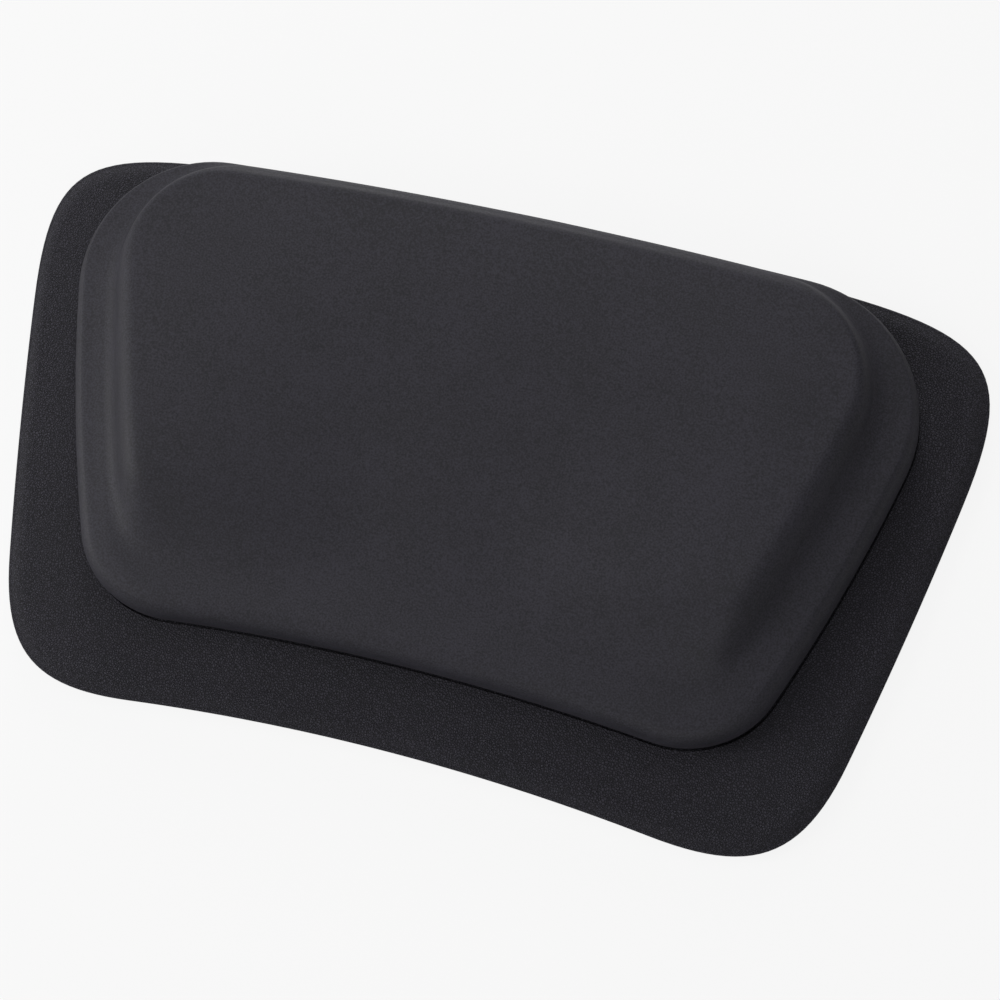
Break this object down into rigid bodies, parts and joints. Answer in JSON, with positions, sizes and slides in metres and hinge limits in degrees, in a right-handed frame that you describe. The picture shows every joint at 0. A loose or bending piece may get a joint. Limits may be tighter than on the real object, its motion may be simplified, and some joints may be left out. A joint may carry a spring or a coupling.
{
  "type": "bath pillow",
  "caption": "Fan-shaped moulded bath pillow: a stepped pad with a soft neck hollow on a thin grained skirt, held to the bath wall by suction cups that turn in sockets in its back.",
  "frame": {"origin": "middle of the skirt's outline, in the plane of the suction cups' lips, where the bath wall is", "axes": "+X across the pillow, +Y in its plane towards the wide top edge, +Z out of the resting face"},
  "size_m": [0.348, 0.2034, 0.0365],
  "materials": {
    "grained_skin": "matte",
    "smooth_skin": "satin",
    "soft_foam": "matte",
    "firm_foam": "matte",
    "plate_resin": "satin",
    "socket_resin": "satin",
    "cup_elastomer": "gloss"
  },
  "bodies": {
    "pillow": {"skirt": "grained_skin", "pad_cover": "smooth_skin", "comfort_foam": "soft_foam", "core_foam": "firm_foam", "mounting_plate": "plate_resin", "cup_socket_1": "socket_resin", "cup_socket_2": "socket_resin", "cup_socket_3": "socket_resin", "cup_socket_4": "socket_resin", "cup_socket_5": "socket_resin", "cup_socket_6": "socket_resin"},
    "cup_1": {"suction_cup_1": "cup_elastomer"},
    "cup_2": {"suction_cup_2": "cup_elastomer"},
    "cup_3": {"suction_cup_3": "cup_elastomer"},
    "cup_4": {"suction_cup_4": "cup_elastomer"},
    "cup_5": {"suction_cup_5": "cup_elastomer"},
    "cup_6": {"suction_cup_6": "cup_elastomer"}
  },
  "joints": [
    {"name": "cup_1_swivel", "type": "hinge", "parent": "pillow", "child": "cup_1", "pos_m": [-0.1019, 0.05189, 0], "axis": [0, 0, 1], "continuous": true},
    {"name": "cup_2_swivel", "type": "hinge", "parent": "pillow", "child": "cup_2", "pos_m": [0, 0.0545, 0], "axis": [0, 0, 1], "continuous": true},
    {"name": "cup_3_swivel", "type": "hinge", "parent": "pillow", "child": "cup_3", "pos_m": [0.1019, 0.05189, 0], "axis": [0, 0, 1], "continuous": true},
    {"name": "cup_4_swivel", "type": "hinge", "parent": "pillow", "child": "cup_4", "pos_m": [-0.0704, -0.03126, 0], "axis": [0, 0, 1], "continuous": true},
    {"name": "cup_5_swivel", "type": "hinge", "parent": "pillow", "child": "cup_5", "pos_m": [0, -0.02765, 0], "axis": [0, 0, 1], "continuous": true},
    {"name": "cup_6_swivel", "type": "hinge", "parent": "pillow", "child": "cup_6", "pos_m": [0.0704, -0.03126, 0], "axis": [0, 0, 1], "continuous": true}
  ]
}
